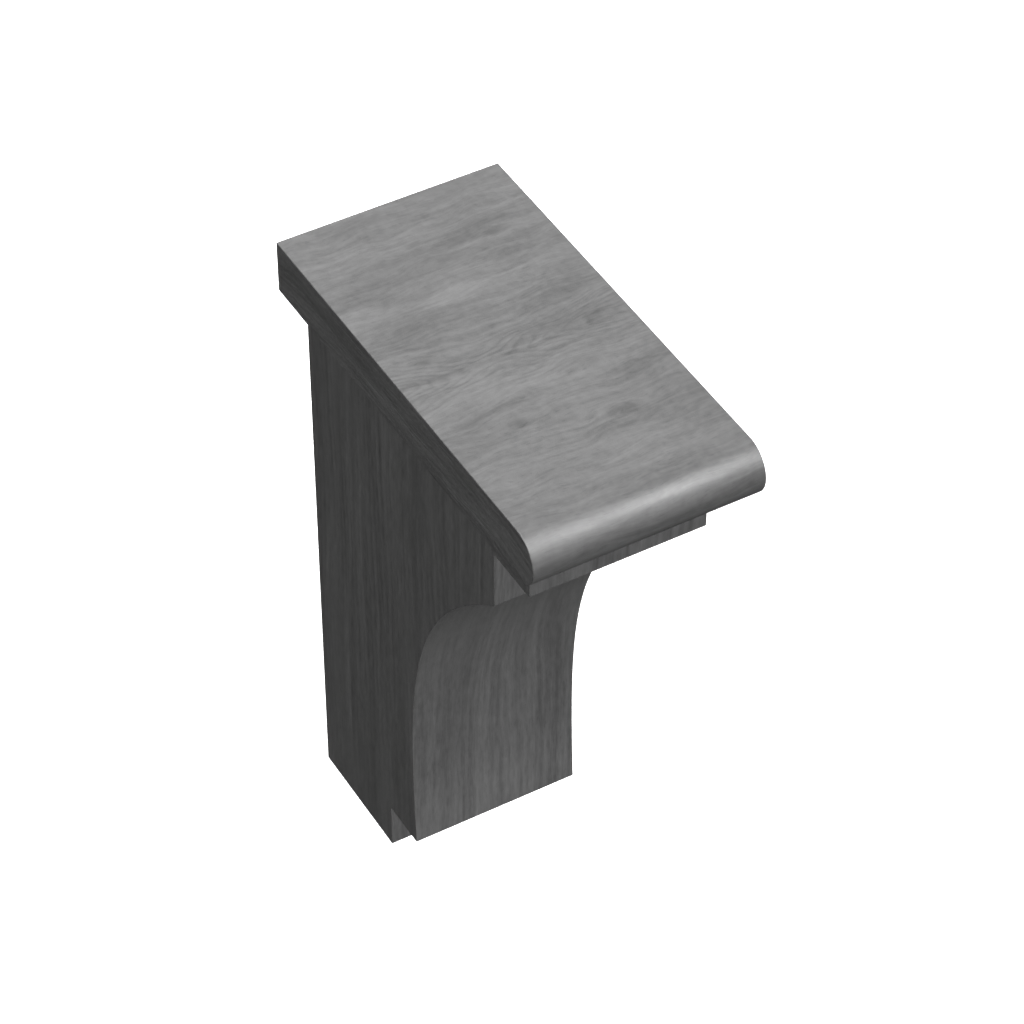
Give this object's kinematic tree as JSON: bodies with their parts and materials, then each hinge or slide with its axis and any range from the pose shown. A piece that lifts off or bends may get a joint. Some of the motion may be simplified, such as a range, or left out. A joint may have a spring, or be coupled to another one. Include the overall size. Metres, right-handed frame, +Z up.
{
  "type": "decorative corbel",
  "caption": "Timber wall corbel: a straight-sided bracket with a hollowed front, stepped neck and foot, under a cap board with a rounded front edge.",
  "frame": {"origin": "centre of the bracket's flat back, which bears on the wall", "axes": "+Z up, -Y out from the wall towards the front, +Y into the wall, +X to the right seen from the front"},
  "size_m": [0.1524, 0.3048, 0.4573],
  "materials": {
    "bracket_timber": "grey stained, satin, grain upright",
    "cap_timber": "grey stained, satin, grain across the width"
  },
  "bodies": {
    "root": {"bracket_body": "bracket_timber", "cap_board": "cap_timber"}
  },
  "joints": []
}
